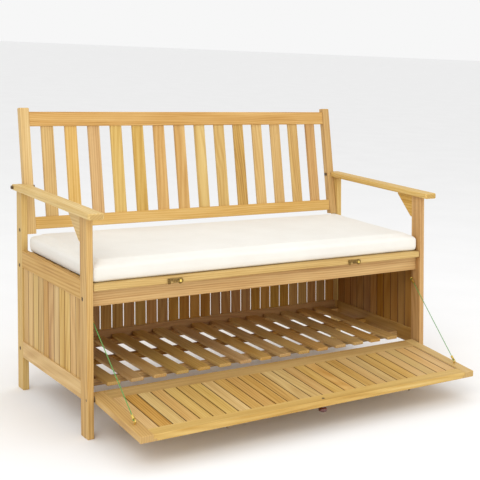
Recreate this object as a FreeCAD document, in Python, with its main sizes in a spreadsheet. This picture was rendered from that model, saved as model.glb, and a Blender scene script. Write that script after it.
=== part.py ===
import FreeCAD, Part
import math
import os

import Sketcher

# Slatted garden storage bench, in millimetres.
# +X is to the right as seen from the front, +Y to the back, +Z up.
# The origin is on the ground, under the middle of the bench with its front flap folded open.
# Three frames are used: "bench" (front of the legs at y = 0),
# "back" (the leaning backrest, y = 0 on its front face)
# and "flap" (z = 0 on the flap's pivot line, +Z towards its free edge, +Y its inner face).

DRIVING = {
    "leg_outer": 586,
    "leg_thick": 18,
    "front_leg_deep": 48,
    "rear_leg_front": 504.4,
    "rear_leg_deep": 44,
    "leg_top": 619,
    "arm_thick": 18,
    "arm_outer": 600,
    "arm_inner": 554,
    "arm_front": -49.5,
    "arm_back": 548,
    "arm_round": 4,
    "arm_corner": 9,
    "arm_notch_y": 527.3,
    "gusset_along": 80,
    "gusset_down": 75,
    "gusset_nib": 7,
    "side_low": 103,
    "side_low_top": 154,
    "side_high": 383,
    "side_high_top": 436,
    "board_thick": 10,
    "tongue": 8,
    "side_boards": 11,
    "side_board_gap": 1.2,
    "rear_y": 518,
    "rear_thick": 20,
    "rear_boards": 29,
    "rear_board_gap": 4,
    "rear_board_thick": 7,
    "rear_low_top": 152,
    "apron_y": 22.3,
    "apron_thick": 21.7,
    "apron_low": 365,
    "seat_low": 412,
    "seat_thick": 19,
    "seat_board": 50,
    "seat_boards": 8,
    "seat_pitch": 64.5,
    "seat_end_gap": 2,
    "bearer_low": 371,
    "bearer_wide": 22,
    "floor_bearer": 20,
    "floor_low": 106,
    "floor_thick": 10,
    "floor_wide": 40,
    "floor_slats": 15,
    "floor_pitch": 70,
    "floor_front": 48,
    "floor_back": 517,
    "floor_bearer_a": 126,
    "floor_bearer_b": 316,
    "floor_bearer_c": 493,
    "floor_round": 5,
    "edge_ease": 1.2,
    "back_y": 507.5,
    "back_z": 482.8,
    "recline": 8.47,
    "stile_wide": 28,
    "stile_thick": 23,
    "stile_foot": 2.2,
    "stile_top": 393.5,
    "stile_round": 4,
    "back_setback": 2,
    "back_rail_thick": 19,
    "back_rail_low": 15.4,
    "back_rail_low_top": 53.3,
    "back_rail_high": 335.9,
    "back_rail_high_top": 380.9,
    "back_slat_wide": 37.5,
    "back_slat_pitch": 74.5,
    "back_slats": 14,
    "back_slat_set": 7,
    "centre_setback": 148.5,
    "flap_open": 94.56,
    "pivot_y": 9.55,
    "pivot_z": 109.2,
    "flap_thick": 19.1,
    "flap_half": 564,
    "flap_tail": 25.5,
    "flap_long": 326,
    "flap_stile": 36,
    "flap_rail": 60,
    "flap_edge_rail": 39,
    "rebate_wide": 10,
    "rebate_deep": 12,
    "flap_first_board": 32,
    "flap_boards": 27,
    "flap_pitch": 39.07,
    "flap_board_gap": 1.7,
    "pivot_pin": 8,
    "pin_in": 30,
    "pin_short": 0.5,
    "pin_clear": 0.1,
    "washer_wide": 18,
    "washer_room": 0.4,
    "knob_wide": 26,
    "knob_tall": 20,
    "knob_in": 16,
    "knob_screw_wide": 4,
    "knob_screw_head": 9,
    "knob_screw_head_tall": 2.4,
    "peg_wide": 6,
    "peg_long": 10,
    "peg_root": 12,
    "peg_in": 16,
    "peg_aside": 3,
    "peg_round": 0.8,
    "latch_x": 312,
    "latch_z": 419,
    "latch_reach": 25.5,
    "latch_thick": 2,
    "latch_gap": 1.6,
    "latch_disc": 18,
    "latch_pin": 5,
    "latch_pin_in": 14,
    "latch_pin_head": 8.6,
    "latch_pin_head_tall": 2,
    "latch_pin_round": 1.2,
    "latch_room": 0.2,
    "spacer_wide": 12,
    "hook_top": 6.8,
    "hook_low": 4.5,
    "hook_mouth": 0.6,
    "hook_end": 13.5,
    "hook_end_top": 8.6,
    "hook_prong": 8.2,
    "hook_bevel": 1.5,
    "mouth_half": 3.6,
    "bolt_wide": 6,
    "bolt_head": 11,
    "bolt_head_tall": 5.4,
    "bolt_head_in": 0.6,
    "bolt_sink": 13,
    "bolt_sink_deep": 6,
    "bolt_short": 45,
    "bolt_long": 56,
    "bolt_arm": 68,
    "bolt_in": 40,
    "socket_wide": 5,
    "socket_deep": 3,
    "nut_wide": 11,
    "nut_thick": 5,
    "bolt_room": 0.25,
    "back_bolt_y": 523,
    "back_bolt_z": 497,
    "upper_bolt_z": 387,
    "lower_bolt_z": 127,
    "arm_bolt_y": 538,
    "eye_ring": 5,
    "eye_wire": 1.6,
    "eye_screw": 1.7,
    "eye_screw_in": 11,
    "eye_room": 0.1,
    "cord_wide": 2.4,
    "ferrule_wide": 7.5,
    "ferrule_long": 12,
    "ferrule_off": 0.3,
    "leg_eye_y": 36.5,
    "leg_eye_z": 332,
    "leg_eye_x": 560,
    "flap_eye_x": 546,
    "flap_eye_in": 248,
    "flap_eye_up": 9,
    "cushion_half": 565.5,
    "cushion_front": 13,
    "cushion_back": 501,
    "cushion_low": 431.3,
    "cushion_top": 487,
    "cushion_round": 10,
}

doc = FreeCAD.newDocument("storage_bench")
sizes = doc.addObject("Spreadsheet::Sheet", "sizes")
for row, (word, number) in enumerate(DRIVING.items(), start=1):
    sizes.set(f"A{row}", word)
    sizes.set(f"B{row}", str(number))
    sizes.setAlias(f"B{row}", word)
probe = doc.addObject("App::Placement", "probe")
doc.recompute()

X, Y, Z = "X", "Y", "Z"
LEFT, RIGHT = "left", "right"
PLANE_ACROSS = {X: "YZ_Plane", Y: "XZ_Plane", Z: "XY_Plane"}
ALL_PARTS = []
EYE_TILT = -49
NEAR_ZERO = 1e-6


def bound(words):
    """The expression with every sheet alias written as a reference to the sheet."""
    found = str(words)
    for word in sorted(DRIVING, key=len, reverse=True):
        found = found.replace(word, f"\0{list(DRIVING).index(word)}\0")
    pieces = found.split("\0")
    names = list(DRIVING)
    for place in range(1, len(pieces), 2):
        pieces[place] = "sizes." + names[int(pieces[place])]
    return "".join(pieces)


def value(words):
    """The number that an expression of sheet aliases gives."""
    probe.setExpression("Placement.Base.x", bound(words))
    probe.recompute()
    return probe.Placement.Base.x


def bind(thing, name, words):
    thing.setExpression(name, bound(words))


def origin(body, role):
    return next(part for part in body.Origin.OriginFeatures if part.Role == role)


def new_body(label, frame="bench"):
    """An empty body that stands in one of the three frames."""
    body = doc.addObject("PartDesign::Body", label)
    body.Label = label
    turn = {"bench": "0", "back": "-recline", "flap": "flap_open"}[frame]
    y = {"bench": "0", "back": "back_y", "flap": "pivot_y"}[frame]
    z = {"bench": "0", "back": "back_z", "flap": "pivot_z"}[frame]
    body.Placement = FreeCAD.Placement(FreeCAD.Vector(), FreeCAD.Rotation(FreeCAD.Vector(1, 0, 0), 1))
    bind(body, "Placement.Rotation.Angle", turn)
    bind(body, "Placement.Base.y", f"{y} - centre_setback")
    bind(body, "Placement.Base.z", z)
    ALL_PARTS.append(body)
    return body


def set_at(feature, body, role, start):
    """Attaches a feature to one of its body's own planes, with its corner or centre at start."""
    feature.AttachmentSupport = (origin(body, role), [""])
    feature.MapMode = "FlatFace"
    for axis, words in zip("xyz", start):
        bind(feature, f"AttachmentOffset.Base.{axis}", words)


def block(body, start, size, cut=False):
    """A box from its lowest corner, added to the body or cut out of it."""
    kind = "PartDesign::SubtractiveBox" if cut else "PartDesign::AdditiveBox"
    feature = body.newObject(kind, "cut" if cut else "block")
    set_at(feature, body, "XY_Plane", start)
    for name, words in zip(("Length", "Width", "Height"), size):
        bind(feature, name, words)
    body.Tip = feature
    doc.recompute()
    return feature


def round_bar(body, axis, start, diameter, length, cut=False):
    """A cylinder along X, Y or Z from its lowest end, added or cut out."""
    kind = "PartDesign::SubtractiveCylinder" if cut else "PartDesign::AdditiveCylinder"
    feature = body.newObject(kind, "bore" if cut else "bar")
    turn = {
        X: FreeCAD.Rotation(FreeCAD.Vector(0, 1, 0), 90),
        Y: FreeCAD.Rotation(FreeCAD.Vector(1, 0, 0), -90),
        Z: FreeCAD.Rotation(),
    }[axis]
    feature.AttachmentOffset = FreeCAD.Placement(FreeCAD.Vector(), turn)
    set_at(feature, body, "XY_Plane", start)
    bind(feature, "Radius", f"({diameter}) / 2")
    bind(feature, "Height", length)
    body.Tip = feature
    doc.recompute()
    return feature


def repeat(body, feature, axis, pitch, count):
    """Repeats the feature along one of the body's axes."""
    row = body.newObject("PartDesign::LinearPattern", "row")
    row.Originals = [feature]
    row.Direction = (origin(body, f"{axis}_Axis"), [""])
    bind(row, "Length", f"({pitch}) * (({count}) - 1)")
    bind(row, "Occurrences", count)
    body.Tip = row
    doc.recompute()
    return row


def ease(body, amount="edge_ease", wanted=None):
    """A small chamfer on every edge that the body has so far, or on those for which wanted is true."""
    base = body.Tip
    names = edge_names(base.Shape, wanted) if wanted else []
    feature = body.newObject("PartDesign::Chamfer", "eased")
    feature.Base = (base, names)
    feature.UseAllEdges = wanted is None
    bind(feature, "Size", amount)
    body.Tip = feature
    doc.recompute()


def rounded(body, amount, wanted):
    """A fillet on the edges for which wanted(edge, box) is true."""
    base = body.Tip
    names = edge_names(base.Shape, wanted)
    feature = body.newObject("PartDesign::Fillet", "rounded")
    feature.Base = (base, names)
    bind(feature, "Radius", amount)
    body.Tip = feature
    doc.recompute()


def edge_names(shape, wanted):
    """The names of the edges for which wanted(edge, box) is true, the box being the whole shape's."""
    box = shape.BoundBox
    return [f"Edge{number}" for number, edge in enumerate(shape.Edges, start=1) if wanted(edge, box)]


def outermost(edge, box):
    """Whether a straight edge lies on two faces of the shape's own box."""
    near = edge.BoundBox
    touches = 0
    for name in "XYZ":
        low, high = getattr(near, name + "Min"), getattr(near, name + "Max")
        ends = (getattr(box, name + "Min"), getattr(box, name + "Max"))
        touches += high - low < 1e-3 and min(abs(low - end) for end in ends) < 1e-3
    return touches >= 2


def runs_along(edge, axis):
    """Whether a straight edge lies along the axis."""
    box = edge.BoundBox
    spans = {X: box.XLength, Y: box.YLength, Z: box.ZLength}
    return all(span < 1e-6 for name, span in spans.items() if name != axis)


def plate(body, plane, offset, thick, points):
    """A flat plate: an outline of points bound to the sheet, padded by thick from the plane's offset."""
    sketch = body.newObject("Sketcher::SketchObject", "outline")
    set_at(sketch, body, plane, ("0", "0", offset))

    places = [(value(across), value(up)) for across, up in points]
    for number, (across, up) in enumerate(places):
        following = places[(number + 1) % len(places)]
        line = Part.LineSegment(FreeCAD.Vector(across, up, 0), FreeCAD.Vector(*following, 0))
        sketch.addGeometry(line)
    for number in range(len(points)):
        sketch.addConstraint(Sketcher.Constraint("Coincident", number, 2, (number + 1) % len(points), 1))
    for number, (across, up) in enumerate(points):
        kinds = ("DistanceX", "DistanceY")
        for letter, kind, words, size in zip("au", kinds, (across, up), places[number]):
            rule = sketch.addConstraint(Sketcher.Constraint(kind, -1, 1, number, 1, size))
            sketch.renameConstraint(rule, f"{letter}{number}")
            bind(sketch, f"Constraints.{letter}{number}", words)
    pad = body.newObject("PartDesign::Pad", "plate")
    pad.Profile = sketch
    bind(pad, "Length", thick)
    body.Tip = pad
    doc.recompute()
    return pad


def low_x(side, near, wide):
    """The lowest X of a piece whose face nearest the middle is at near, on either side."""
    return f"{near}" if side == RIGHT else f"-({near}) - ({wide})"


def bolt_holes(body, side, face, depth, places):
    """Clearance holes along X into a piece from its outer face, at the given (y, z) places."""
    for y, z in places:
        start = (low_x(side, f"({face}) - ({depth})", depth), y, z)
        round_bar(body, X, start, BOLT_BORE, depth, cut=True)


SIN = "sin(recline * 1deg)"
COS = "cos(recline * 1deg)"
LEG_INNER = "leg_outer - leg_thick"
STILE_NEAR = f"{LEG_INNER} - stile_wide"
REAR_BOLTS = (
    ("back_bolt_y", "back_bolt_z"),
    ("rear_y + rear_thick / 2", "upper_bolt_z"),
    ("rear_y + rear_thick / 2", "lower_bolt_z"),
)
FRONT_BOLT = ("apron_y + apron_thick / 2", "upper_bolt_z")
ARM_BOLT = ("arm_bolt_y", "leg_top + arm_thick / 2")
BOLT_BORE = "bolt_wide + 2 * bolt_room"


def sunk_bolt_holes(body, side, places):
    """Through holes in a leg with a counterbore for each bolt's head."""
    bolt_holes(body, side, "leg_outer", "leg_thick", places)
    for y, z in places:
        start = (low_x(side, "leg_outer - bolt_sink_deep", "bolt_sink_deep"), y, z)
        round_bar(body, X, start, "bolt_sink", "bolt_sink_deep", cut=True)


def front_leg(side):
    body = new_body(f"{side}_front_leg")
    start = (low_x(side, LEG_INNER, "leg_thick"), "0", "0")
    block(body, start, ("leg_thick", "front_leg_deep", "leg_top"))
    ease(body)
    sunk_bolt_holes(body, side, [FRONT_BOLT])
    pin_hole = (low_x(side, LEG_INNER, "leg_thick"), "pivot_y", "pivot_z")
    round_bar(body, X, pin_hole, "pivot_pin + pin_clear", "leg_thick", cut=True)
    eye_hole = (low_x(side, LEG_INNER, "eye_screw_in + 1"), "leg_eye_y", "leg_eye_z")
    round_bar(body, X, eye_hole, "2 * (eye_screw + eye_room)", "eye_screw_in + 1", cut=True)


def rear_leg(side):
    body = new_body(f"{side}_rear_leg")
    start = (low_x(side, LEG_INNER, "leg_thick"), "rear_leg_front", "0")
    block(body, start, ("leg_thick", "rear_leg_deep", "leg_top"))
    ease(body)
    sunk_bolt_holes(body, side, REAR_BOLTS)


SIDE_START = "front_leg_deep"
SIDE_LONG = "rear_leg_front - front_leg_deep"
PANEL_NEAR = "leg_outer - (leg_thick + board_thick) / 2"


def side_rail(side, name, low, top, groove_low):
    """A rail between the legs of one side, grooved for the ends of the side boards."""
    body = new_body(f"{side}_{name}")
    start = (low_x(side, LEG_INNER, "leg_thick"), SIDE_START, low)
    block(body, start, ("leg_thick", SIDE_LONG, f"{top} - {low}"))
    ease(body)
    groove = (low_x(side, PANEL_NEAR, "board_thick"), SIDE_START, groove_low)
    block(body, groove, ("board_thick", SIDE_LONG, "tongue"), cut=True)


def side_boards(side):
    body = new_body(f"{side}_side_boards")
    pitch = f"({SIDE_LONG}) / side_boards"
    first = f"{SIDE_START} + side_board_gap / 2"
    start = (low_x(side, PANEL_NEAR, "board_thick"), first, "side_low_top - tongue")
    size = ("board_thick", f"{pitch} - side_board_gap", "side_high - side_low_top + 2 * tongue")
    board = block(body, start, size)
    repeat(body, board, Y, pitch, "side_boards")
    ease(body)


def front_upright(edge, box):
    """Whether an edge is one of the upright ones at the shape's front."""
    return runs_along(edge, Z) and edge.BoundBox.YMax < box.YMin + 1


def top_across(edge, box):
    """Whether an edge is one of those along X at the shape's top."""
    return runs_along(edge, X) and edge.BoundBox.ZMin > box.ZMax - 1


def armrest(side):
    body = new_body(f"{side}_armrest")
    wide = "arm_outer - arm_inner"
    start = (low_x(side, "arm_inner", wide), "arm_front", "leg_top")
    block(body, start, (wide, "arm_back - arm_front", "arm_thick"))
    rounded(body, "arm_corner", front_upright)
    rounded(body, "arm_round", lambda edge, box: edge.BoundBox.ZLength < NEAR_ZERO)
    inset = f"{LEG_INNER} - arm_inner + 1"
    notch = (low_x(side, "arm_inner - 1", inset), "arm_notch_y", "leg_top - 1")
    block(body, notch, (inset, "arm_back - arm_notch_y + 1", "arm_thick + 2"), cut=True)
    bolt_holes(body, side, "arm_outer", "arm_outer - leg_outer + leg_thick", [ARM_BOLT])


def arm_bracket(side):
    """The three-cornered gusset in the angle of the front leg and the armrest."""
    body = new_body(f"{side}_arm_bracket")
    points = [
        ("front_leg_deep", "leg_top"),
        ("front_leg_deep", "leg_top - gusset_down"),
        ("front_leg_deep + gusset_nib", "leg_top - gusset_down"),
        ("front_leg_deep + gusset_along", "leg_top - gusset_nib"),
        ("front_leg_deep + gusset_along", "leg_top"),
    ]
    plate(body, "YZ_Plane", low_x(side, LEG_INNER, "leg_thick"), "leg_thick", points)
    ease(body)


def back_stile(side):
    body = new_body(f"{side}_back_stile", "back")
    start = (low_x(side, STILE_NEAR, "stile_wide"), "0", "stile_foot")
    block(body, start, ("stile_wide", "stile_thick", "stile_top - stile_foot"))
    rounded(body, "stile_round", top_across)
    ease(body, wanted=lambda edge, box: runs_along(edge, Z))
    for y, z in (REAR_BOLTS[0], ARM_BOLT):
        deep = f"(({y}) - back_y) * {COS} - (({z}) - back_z) * {SIN}"
        high = f"(({y}) - back_y) * {SIN} + (({z}) - back_z) * {COS}"
        hole = (low_x(side, STILE_NEAR, "stile_wide"), deep, high)
        round_bar(body, X, hole, BOLT_BORE, "stile_wide", cut=True)


BACK_SLAT_FIRST = "-(back_slats - 1) / 2 * back_slat_pitch - back_slat_wide / 2"


def back_rail(name, low, top, mortise_low):
    """A rail between the back stiles with one mortise for each slat."""
    body = new_body(name, "back")
    start = (f"-({STILE_NEAR})", "back_setback", low)
    block(body, start, (f"2 * ({STILE_NEAR})", "back_rail_thick", f"{top} - {low}"))
    ease(body)
    hole = block(
        body,
        (BACK_SLAT_FIRST, "back_slat_set", mortise_low),
        ("back_slat_wide", "board_thick", "tongue"),
        cut=True,
    )
    repeat(body, hole, X, "back_slat_pitch", "back_slats")


def back_slats():
    body = new_body("back_slats", "back")
    slat = block(
        body,
        (BACK_SLAT_FIRST, "back_slat_set", "back_rail_low_top - tongue"),
        ("back_slat_wide", "board_thick", "back_rail_high - back_rail_low_top + 2 * tongue"),
    )
    repeat(body, slat, X, "back_slat_pitch", "back_slats")
    ease(body)


REAR_BOARD_Y = "rear_y + (rear_thick - rear_board_thick) / 2"


def cross_rail(name, y, thick, low, top, groove_low=None, holes=()):
    """A rail from leg to leg, with an optional groove for board ends and bolt holes in its ends."""
    body = new_body(name)
    block(body, (f"-({LEG_INNER})", y, low), (f"2 * ({LEG_INNER})", thick, f"{top} - ({low})"))
    ease(body)
    if groove_low:
        groove = (f"-({LEG_INNER})", REAR_BOARD_Y, groove_low)
        block(body, groove, (f"2 * ({LEG_INNER})", "rear_board_thick", "tongue"), cut=True)
    for side in (LEFT, RIGHT):
        bolt_holes(body, side, LEG_INNER, "bolt_in", holes)


def rear_boards():
    body = new_body("rear_boards")
    pitch = f"2 * ({LEG_INNER}) / rear_boards"
    start = (f"-({LEG_INNER}) + rear_board_gap / 2", REAR_BOARD_Y, "rear_low_top - tongue")
    high = "apron_low - rear_low_top + 2 * tongue"
    board = block(body, start, (f"{pitch} - rear_board_gap", "rear_board_thick", high))
    repeat(body, board, X, pitch, "rear_boards")
    ease(body)


def seat():
    half = f"{LEG_INNER} - seat_end_gap"
    body = new_body("seat_front_board")
    block(body, (f"-({half})", "0", "seat_low"), (f"2 * ({half})", "seat_board", "seat_thick"))
    ease(body, "2 * edge_ease")
    for side in (-1, 1):
        hole = (f"{side} * latch_x", "-1", "latch_z")
        round_bar(body, Y, hole, "latch_pin", "latch_pin_in + 1", cut=True)
    body = new_body("seat_slats")
    start = (f"-({half})", "seat_pitch", "seat_low")
    board = block(body, start, (f"2 * ({half})", "seat_board", "seat_thick"))
    repeat(body, board, Y, "seat_pitch", "seat_boards - 1")
    ease(body)
    body = new_body("seat_bearers")
    start = (f"-({LEG_INNER})", "apron_y + apron_thick", "bearer_low")
    deep = "rear_y - apron_y - apron_thick"
    bearer = block(body, start, ("bearer_wide", deep, "seat_low - bearer_low"))
    repeat(body, bearer, X, f"{LEG_INNER} - bearer_wide / 2", "3")
    ease(body)


def storage_floor():
    body = new_body("floor_slats")
    first = "-(floor_slats - 1) / 2 * floor_pitch - floor_wide / 2"
    start = (first, "floor_front", "floor_low + floor_bearer")
    slat = block(body, start, ("floor_wide", "floor_back - floor_front", "floor_thick"))
    repeat(body, slat, X, "floor_pitch", "floor_slats")
    rounded(body, "floor_round", lambda edge, box: runs_along(edge, Z))
    ease(body)
    body = new_body("floor_bearers")
    for y in ("floor_bearer_a", "floor_bearer_b", "floor_bearer_c"):
        start = (f"-({LEG_INNER})", y, "floor_low")
        block(body, start, (f"2 * ({LEG_INNER})", "floor_bearer", "floor_bearer"))
    ease(body)


INNER_FACE = "flap_thick / 2"
LIP_THICK = "flap_thick - rebate_deep"
FREE_EDGE = "flap_long - flap_tail"
RAIL_HALF = "flap_half - flap_stile"
REBATE_Y = f"{INNER_FACE} - rebate_deep"


def flap_stile(side):
    """An end piece of the flap's frame: full width on the outer face, rebated for the boards inside."""
    body = new_body(f"flap_{side}_stile", "flap")
    lip = "flap_stile + rebate_wide"
    outer_start = (low_x(side, f"flap_half - ({lip})", lip), f"-({INNER_FACE})", "-flap_tail")
    block(body, outer_start, (lip, LIP_THICK, "flap_long"))
    inner_start = (low_x(side, RAIL_HALF, "flap_stile"), REBATE_Y, "-flap_tail")
    block(body, inner_start, ("flap_stile", "rebate_deep", "flap_long"))
    ease(body, wanted=outermost)
    pin_hole = (low_x(side, "flap_half - pin_in", "pin_in"), "0", "0")
    round_bar(body, X, pin_hole, "pivot_pin", "pin_in", cut=True)
    deepest = f"{INNER_FACE} - eye_screw_in - 1"
    eye_hole = (f"{sign(side)} * flap_eye_x", deepest, "flap_eye_in - flap_tail")
    round_bar(body, Y, eye_hole, "2 * (eye_screw + eye_room)", "eye_screw_in + 2", cut=True)


def flap_rail(name, low, visible, lip_low):
    """A long piece of the flap's frame, lapped over the stiles' rebates at its ends."""
    body = new_body(name, "flap")
    block(body, (f"-({RAIL_HALF})", REBATE_Y, low), (f"2 * ({RAIL_HALF})", "rebate_deep", visible))
    narrow = f"{RAIL_HALF} - rebate_wide"
    outer_start = (f"-({narrow})", f"-({INNER_FACE})", lip_low)
    block(body, outer_start, (f"2 * ({narrow})", LIP_THICK, f"{visible} + rebate_wide"))
    ease(body, wanted=outermost)
    return body


def flap_frame():
    flap_stile(LEFT)
    flap_stile(RIGHT)
    flap_rail("flap_hinge_rail", "-flap_tail", "flap_rail", "-flap_tail")
    edge_low = f"{FREE_EDGE} - flap_edge_rail"
    body = flap_rail("flap_edge_rail", edge_low, "flap_edge_rail", f"{edge_low} - rebate_wide")
    for side in (-1, 1):
        hole = (f"{side} * latch_x + peg_aside", f"-({INNER_FACE})", f"{FREE_EDGE} - peg_in")
        round_bar(body, Y, hole, "peg_wide", "peg_root", cut=True)
    hole = ("0", f"-({INNER_FACE})", f"{FREE_EDGE} - knob_in")
    round_bar(body, Y, hole, "knob_screw_wide + 0.5", "flap_thick", cut=True)
    sunk = ("0", f"{INNER_FACE} - knob_screw_head_tall - 0.1", f"{FREE_EDGE} - knob_in")
    round_bar(body, Y, sunk, "knob_screw_head + 0.2", "knob_screw_head_tall + 0.6", cut=True)


def flap_boards():
    body = new_body("flap_boards", "flap")
    low = "flap_rail - flap_tail"
    tall = "flap_long - flap_rail - flap_edge_rail"
    first = f"-({RAIL_HALF})"
    start = (f"{first} + flap_board_gap", REBATE_Y, low)
    block(body, start, ("flap_first_board - flap_board_gap", "rebate_deep", tall))
    board = block(
        body,
        (f"{first} + flap_first_board + flap_board_gap", REBATE_Y, low),
        ("flap_pitch - flap_board_gap", "rebate_deep", tall),
    )
    repeat(body, board, X, "flap_pitch", "flap_boards - 2")
    last = f"{first} + flap_first_board + (flap_boards - 2) * flap_pitch + flap_board_gap"
    block(body, (last, REBATE_Y, low), (f"{RAIL_HALF} - ({last}) - flap_board_gap", "rebate_deep", tall))
    ease(body)


def flap_pivots():
    pins = new_body("flap_pivot_pins", "flap")
    washers = new_body("flap_pivot_washers", "flap")
    long = "leg_outer - pin_short - flap_half + pin_in"
    gap = f"{LEG_INNER} - flap_half - washer_room"
    for side in (LEFT, RIGHT):
        round_bar(pins, X, (low_x(side, "flap_half - pin_in", long), "0", "0"), "pivot_pin", long)
        round_bar(washers, X, (low_x(side, "flap_half", gap), "0", "0"), "washer_wide", gap)
    for side in (LEFT, RIGHT):
        round_bar(washers, X, (low_x(side, "flap_half", gap), "0", "0"), "pivot_pin", gap, cut=True)


def sign(side):
    return 1 if side == RIGHT else -1


def pull_knob():
    """A mushroom knob on the flap's outer face, held by a screw from the inner face."""
    body = new_body("pull_knob", "flap")
    place = f"{FREE_EDGE} - knob_in"
    neck = ("0", f"-({INNER_FACE}) - knob_tall / 2", place)
    round_bar(body, Y, neck, "knob_wide * 0.5", "knob_tall / 2")
    round_bar(body, Y, ("0", f"-({INNER_FACE}) - knob_tall", place), "knob_wide", "knob_tall * 0.6")
    rounded(body, "knob_tall * 0.27", rim)
    round_bar(body, Y, neck, "knob_screw_wide", "knob_tall / 2", cut=True)
    screw = new_body("knob_screw", "flap")
    head = ("0", f"{INNER_FACE} - knob_screw_head_tall", place)
    round_bar(screw, Y, head, "knob_screw_head", "knob_screw_head_tall")
    round_bar(screw, Y, neck, "knob_screw_wide", "knob_tall / 2 + flap_thick - 2")


def rim(edge, box):
    """Whether an edge is a full-width circle about Y."""
    return edge.BoundBox.XLength > box.XLength - 1 and edge.BoundBox.YLength < NEAR_ZERO


def latch_pegs():
    body = new_body("latch_pegs", "flap")
    for side in (-1, 1):
        start = (f"{side} * latch_x + peg_aside", f"-({INNER_FACE}) - peg_long", f"{FREE_EDGE} - peg_in")
        round_bar(body, Y, start, "peg_wide", "peg_long + peg_root")
    rounded(body, "peg_round", front_circle)


def front_circle(edge, box):
    """Whether an edge is one of the larger circles on the shape's foremost face."""
    wide = edge.BoundBox.XLength > 1
    return wide and edge.BoundBox.YMax < box.YMin + NEAR_ZERO


def latch_hook(side):
    """A swing hook on the seat's front board, stowed with its arm to the left."""
    plane = "-(latch_gap + latch_thick)"
    body = new_body(f"{side}_latch_hook")
    middle = f"{sign(side)} * latch_x"
    round_bar(body, Y, (middle, plane, "latch_z"), "latch_disc", "latch_thick")
    end = f"{middle} - latch_reach - hook_end"
    prong = f"{middle} - latch_reach - mouth_half"
    shoulder = f"{middle} - latch_reach + mouth_half"
    points = [
        (middle, "latch_z + hook_top"),
        (f"{prong}", "latch_z + hook_end_top"),
        (f"{end} + hook_bevel", "latch_z + hook_end_top"),
        (end, "latch_z + hook_end_top - hook_bevel"),
        (f"{end} + hook_bevel", "latch_z - hook_prong"),
        (f"{prong} - hook_bevel", "latch_z - hook_prong"),
        (prong, "latch_z + hook_mouth"),
        (shoulder, "latch_z + hook_mouth"),
        (f"{shoulder} + hook_bevel", "latch_z - hook_low"),
        (middle, "latch_z - hook_low"),
    ]
    plate(body, "XZ_Plane", "latch_gap", "latch_thick", points)
    bore = (middle, f"{plane} - 1", "latch_z")
    round_bar(body, Y, bore, "latch_pin + pin_clear", "latch_thick + 2", cut=True)


def latch_fixings():
    """The spacer ring and the headed pivot screw of each hook."""
    spacers = new_body("latch_spacers")
    pins = new_body("latch_pivot_screws")
    outer = "-(latch_gap + latch_thick + latch_room)"
    thick = "latch_gap - latch_room"
    for side in (-1, 1):
        middle = f"{side} * latch_x"
        round_bar(spacers, Y, (middle, f"-({thick})", "latch_z"), "spacer_wide", thick)
        round_bar(pins, Y, (middle, outer, "latch_z"), "latch_pin", f"latch_pin_in - ({outer})")
        head = (middle, f"{outer} - latch_pin_head_tall", "latch_z")
        round_bar(pins, Y, head, "latch_pin_head", "latch_pin_head_tall")
    for side in (-1, 1):
        start = (f"{side} * latch_x", f"-({thick})", "latch_z")
        round_bar(spacers, Y, start, "latch_pin", thick, cut=True)
    rounded(pins, "latch_pin_round", front_circle)


def bolt(body, side, outer, y, z, length):
    """One socket-head bolt along X, its head's outer end at outer."""
    start = (low_x(side, f"({outer}) - bolt_head_tall", "bolt_head_tall"), y, z)
    round_bar(body, X, start, "bolt_head", "bolt_head_tall")
    shank = (low_x(side, f"({outer}) - ({length})", length), y, z)
    round_bar(body, X, shank, "bolt_wide", length)


def socket(body, side, outer, y, z):
    """The key's socket in a bolt's head, as a round recess."""
    start = (low_x(side, f"({outer}) - socket_deep", "socket_deep"), y, z)
    round_bar(body, X, start, "socket_wide", "socket_deep", cut=True)


def bolts():
    sunk = "leg_outer - bolt_head_in"
    groups = (
        ("rear_leg_bolts", REAR_BOLTS, sunk, ("bolt_short", "bolt_long", "bolt_long")),
        ("front_leg_bolts", (FRONT_BOLT,), sunk, ("bolt_long",)),
        ("arm_bolts", (ARM_BOLT,), "arm_outer + bolt_head_tall", ("bolt_arm",)),
    )
    for name, places, outer, lengths in groups:
        body = new_body(name)
        for side in (LEFT, RIGHT):
            for (y, z), length in zip(places, lengths):
                bolt(body, side, outer, y, z, length)
        for side in (LEFT, RIGHT):
            for y, z in places:
                socket(body, side, outer, y, z)
    nuts = new_body("arm_bolt_nuts")
    y, z = ARM_BOLT
    nut_near = f"{STILE_NEAR} - nut_thick"
    for side in (LEFT, RIGHT):
        start = (low_x(side, nut_near, "nut_thick"), y, z)
        round_bar(nuts, X, start, "nut_wide", "nut_thick")
    for side in (LEFT, RIGHT):
        start = (low_x(side, nut_near, "nut_thick"), y, z)
        round_bar(nuts, X, start, "bolt_wide", "nut_thick", cut=True)


def ring(body, centre, turn, radius, wire):
    """A closed ring of wire about its own axis, which turn sets."""
    feature = body.newObject("PartDesign::AdditiveTorus", "ring")
    feature.AttachmentOffset = FreeCAD.Placement(FreeCAD.Vector(), turn)
    set_at(feature, body, "XY_Plane", centre)
    bind(feature, "Radius1", radius)
    bind(feature, "Radius2", wire)
    body.Tip = feature
    doc.recompute()


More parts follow.
